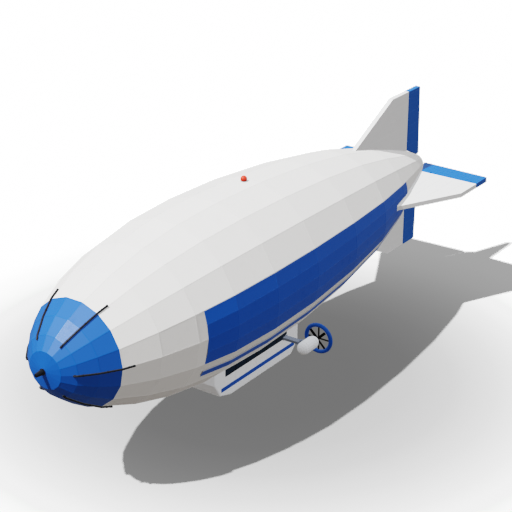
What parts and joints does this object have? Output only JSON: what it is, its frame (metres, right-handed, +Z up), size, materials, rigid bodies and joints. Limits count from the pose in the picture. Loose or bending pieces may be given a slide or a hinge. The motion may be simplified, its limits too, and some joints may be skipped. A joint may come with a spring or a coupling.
{
  "type": "airship (1:2 scale model)",
  "caption": "Non-rigid airship with a gored envelope, nose rods, cross tail fins with rudders and elevators, a gondola and tilting ducted propeller pods.",
  "frame": {"origin": "on the envelope's axis at the centre of buoyancy, where the air holds the ship", "axes": "-Y towards the nose, +X to port, +Z up"},
  "size_m": [8.4, 29.316, 9.86],
  "materials": {
    "envelope_white": "satin",
    "cap_blue": "satin",
    "panel_blue": "satin",
    "tail_blue": "satin",
    "tail_white": "satin",
    "rod_black": "satin",
    "spindle_dark": "dark",
    "beacon_red": "gloss",
    "car_white": "satin",
    "car_glass": "dark tinted",
    "car_grey": "matt",
    "steel": "satin",
    "nacelle_grey": "satin",
    "duct_blue": "satin",
    "blade_black": "matt"
  },
  "bodies": {
    "ship": {"envelope": "envelope_white", "nose_cap": "cap_blue", "mooring_spindle": "spindle_dark", "beacon": "beacon_red", "side_panel_port": "panel_blue", "side_panel_starboard": "panel_blue", "stripe_port": "panel_blue", "stripe_starboard": "panel_blue", "fin_top": "tail_white", "fin_bottom": "tail_white", "fin_port": "tail_white", "fin_starboard": "tail_white", "gondola_keel": "car_white", "gondola_nose": "car_white", "gondola_cabin": "car_white", "gondola_floor": "car_grey", "gondola_stripe_port": "panel_blue", "gondola_stripe_starboard": "panel_blue", "window_glass_port": "car_glass", "window_glass_starboard": "car_glass", "window_glass_aft": "car_glass", "windscreen": "car_glass", "door_hinge_rod": "steel", "nose_rod_1": "rod_black", "nose_rod_2": "rod_black", "nose_rod_3": "rod_black", "nose_rod_4": "rod_black", "nose_rod_5": "rod_black", "nose_rod_6": "rod_black", "outrigger_port": "steel", "outrigger_starboard": "steel"},
    "rudder_top": {"rudder_top": "tail_blue"},
    "rudder_bottom": {"rudder_bottom": "tail_blue"},
    "elevator_port": {"elevator_port": "tail_blue"},
    "elevator_starboard": {"elevator_starboard": "tail_blue"},
    "door": {"cabin_door": "car_white", "door_glass": "car_glass"},
    "pod_port": {"nacelle_port": "nacelle_grey", "duct_port": "duct_blue", "stator_port": "blade_black"},
    "propeller_port": {"propeller_port": "blade_black"},
    "pod_starboard": {"nacelle_starboard": "nacelle_grey", "duct_starboard": "duct_blue", "stator_starboard": "blade_black"},
    "propeller_starboard": {"propeller_starboard": "blade_black"}
  },
  "joints": [
    {"name": "rudder_top_turn", "type": "hinge", "parent": "ship", "child": "rudder_top", "pos_m": [0, 13.935, 2.7], "axis": [0, 0, 1], "range_deg": [-25, 25]},
    {"name": "rudder_bottom_turn", "type": "hinge", "parent": "ship", "child": "rudder_bottom", "pos_m": [0, 13.935, -2.7], "axis": [0, 0, 1], "range_deg": [-25, 25]},
    {"name": "elevator_port_turn", "type": "hinge", "parent": "ship", "child": "elevator_port", "pos_m": [2.7, 13.935, 0], "axis": [1, 0, 0], "range_deg": [-25, 25]},
    {"name": "elevator_starboard_turn", "type": "hinge", "parent": "ship", "child": "elevator_starboard", "pos_m": [-2.7, 13.935, 0], "axis": [1, 0, 0], "range_deg": [-25, 25]},
    {"name": "pod_port_tilt", "type": "hinge", "parent": "ship", "child": "pod_port", "pos_m": [1.825, 1.873, -4.574], "axis": [1, 0, 0], "range_deg": [-90, 90]},
    {"name": "pod_starboard_tilt", "type": "hinge", "parent": "ship", "child": "pod_starboard", "pos_m": [-1.825, 1.873, -4.574], "axis": [1, 0, 0], "range_deg": [-90, 90]},
    {"name": "propeller_port_spin", "type": "hinge", "parent": "pod_port", "child": "propeller_port", "pos_m": [2.142, 2.53, -4.574], "axis": [0, 1, 0], "continuous": true},
    {"name": "propeller_starboard_spin", "type": "hinge", "parent": "pod_starboard", "child": "propeller_starboard", "pos_m": [-2.142, 2.53, -4.574], "axis": [0, 1, 0], "continuous": true},
    {"name": "cabin_door_swing", "type": "hinge", "parent": "ship", "child": "door", "pos_m": [-0.86, 0.585, -4.57], "axis": [0, 0, 1], "range_deg": [0, 100]}
  ]
}
